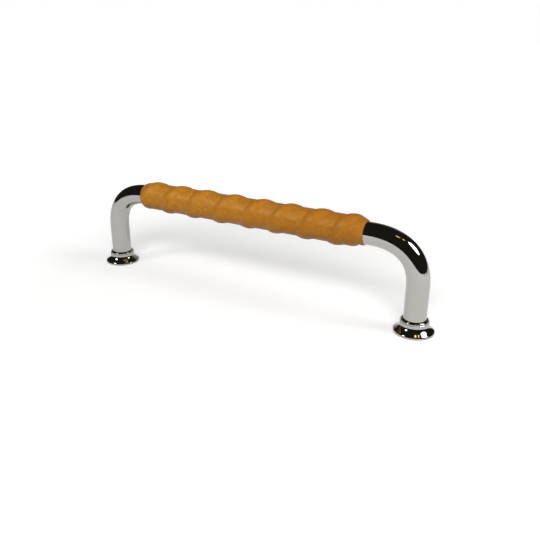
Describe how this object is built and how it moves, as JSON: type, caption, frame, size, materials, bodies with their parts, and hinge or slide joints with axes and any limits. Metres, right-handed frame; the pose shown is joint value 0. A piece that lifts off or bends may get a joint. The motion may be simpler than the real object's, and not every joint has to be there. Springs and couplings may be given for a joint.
{
  "type": "bow pull handle",
  "caption": "Bow pull handle: a polished nickel rod bent down at each end onto small turned feet, its straight grip wound with a lapped strip of tan leather.",
  "frame": {"origin": "on the mounting plane, midway between the two screw holes", "axes": "+X along the grip, +Y across it, away from the side that the picture shows, +Z out of the drawer front"},
  "size_m": [0.1416, 0.0138, 0.0366],
  "materials": {
    "polished_nickel": "mirror polished nickel plate",
    "tan_leather": "tan leather with a fine grain and a soft sheen"
  },
  "bodies": {
    "root": {"bow_rod": "polished_nickel", "foot_left": "polished_nickel", "foot_right": "polished_nickel", "leather_wrap": "tan_leather"}
  },
  "joints": []
}
